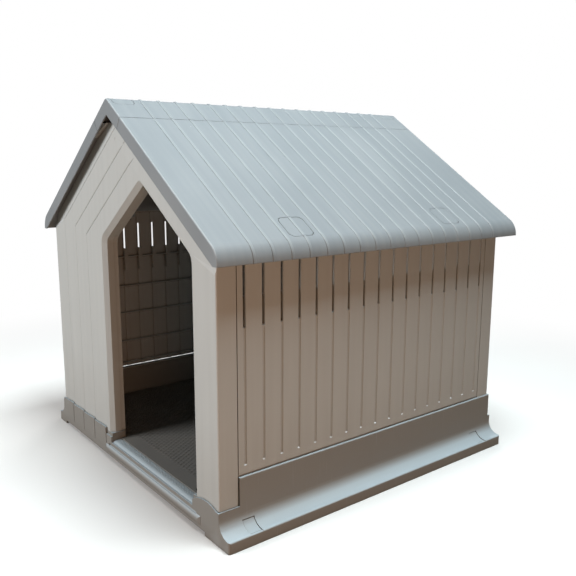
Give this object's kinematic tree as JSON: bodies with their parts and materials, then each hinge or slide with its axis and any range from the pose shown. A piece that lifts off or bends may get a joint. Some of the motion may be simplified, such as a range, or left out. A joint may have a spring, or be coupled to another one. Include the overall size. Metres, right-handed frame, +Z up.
{
  "type": "animal hutch",
  "caption": "Knock-down moulded-plastic animal hutch: gabled lift-off roof with press latches, off-centre pointed doorway, slotted side panels, coved base tray.",
  "frame": {"origin": "on the ground under the middle of the hutch: centre of the overall box, lowest face", "axes": "+Z up; +Y along the ridge from the doorway to the back; +X to the right as seen facing the doorway"},
  "size_m": [0.877, 0.88, 0.8582],
  "materials": {
    "roof_plastic": "moulded blue-grey polypropylene, fine matt grain",
    "wall_plastic": "moulded warm light-grey polypropylene, fine matt grain",
    "base_plastic": "moulded blue-grey polypropylene, fine matt grain",
    "floor_plastic": "moulded mid-grey polypropylene with an anti-slip diamond grain",
    "screw_steel": "zinc-plated steel"
  },
  "bodies": {
    "house": {"base_tray": "base_plastic", "floor_panel": "floor_plastic", "front_wall": "wall_plastic", "rear_wall": "wall_plastic", "left_side_panel": "wall_plastic", "right_side_panel": "wall_plastic", "base_catch_left_front": "base_plastic", "base_catch_left_rear": "base_plastic", "base_catch_right_front": "base_plastic", "base_catch_right_rear": "base_plastic", "wall_screws": "screw_steel", "base_screws": "screw_steel"},
    "roof": {"left_roof_panel": "roof_plastic", "right_roof_panel": "roof_plastic", "ridge_cap": "roof_plastic", "cap_screws": "screw_steel", "eave_latch_pins": "screw_steel"},
    "front_ridge_button": {"ridge_latch_front": "roof_plastic"},
    "rear_ridge_button": {"ridge_latch_rear": "roof_plastic"},
    "left_front_latch": {"eave_latch_left_front": "roof_plastic"},
    "left_rear_latch": {"eave_latch_left_rear": "roof_plastic"},
    "right_front_latch": {"eave_latch_right_front": "roof_plastic"},
    "right_rear_latch": {"eave_latch_right_rear": "roof_plastic"}
  },
  "joints": [
    {"name": "roof_lift", "type": "slide", "parent": "house", "child": "roof", "axis": [0, 0, 1], "range_m": [0, 0.3]},
    {"name": "left_front_latch_press", "type": "hinge", "parent": "roof", "child": "left_front_latch", "pos_m": [-0.36333, -0.23, 0.60888], "axis": [0, -1, 0], "range_deg": [0, 5], "stiffness_Nm_per_rad": 0.3, "springref_deg": -9.74},
    {"name": "left_rear_latch_press", "type": "hinge", "parent": "roof", "child": "left_rear_latch", "pos_m": [-0.36333, 0.214, 0.60888], "axis": [0, -1, 0], "range_deg": [0, 5], "stiffness_Nm_per_rad": 0.3, "springref_deg": -9.74},
    {"name": "right_front_latch_press", "type": "hinge", "parent": "roof", "child": "right_front_latch", "pos_m": [0.36333, -0.23, 0.60888], "axis": [0, 1, 0], "range_deg": [0, 5], "stiffness_Nm_per_rad": 0.3, "springref_deg": -9.74},
    {"name": "right_rear_latch_press", "type": "hinge", "parent": "roof", "child": "right_rear_latch", "pos_m": [0.36333, 0.214, 0.60888], "axis": [0, 1, 0], "range_deg": [0, 5], "stiffness_Nm_per_rad": 0.3, "springref_deg": -9.74},
    {"name": "front_ridge_press", "type": "slide", "parent": "roof", "child": "front_ridge_button", "axis": [0, 0, -1], "range_m": [0, 0.004], "stiffness_N_per_m": 300, "springref_m": -0.003},
    {"name": "rear_ridge_press", "type": "slide", "parent": "roof", "child": "rear_ridge_button", "axis": [0, 0, -1], "range_m": [0, 0.004], "stiffness_N_per_m": 300, "springref_m": -0.003}
  ]
}
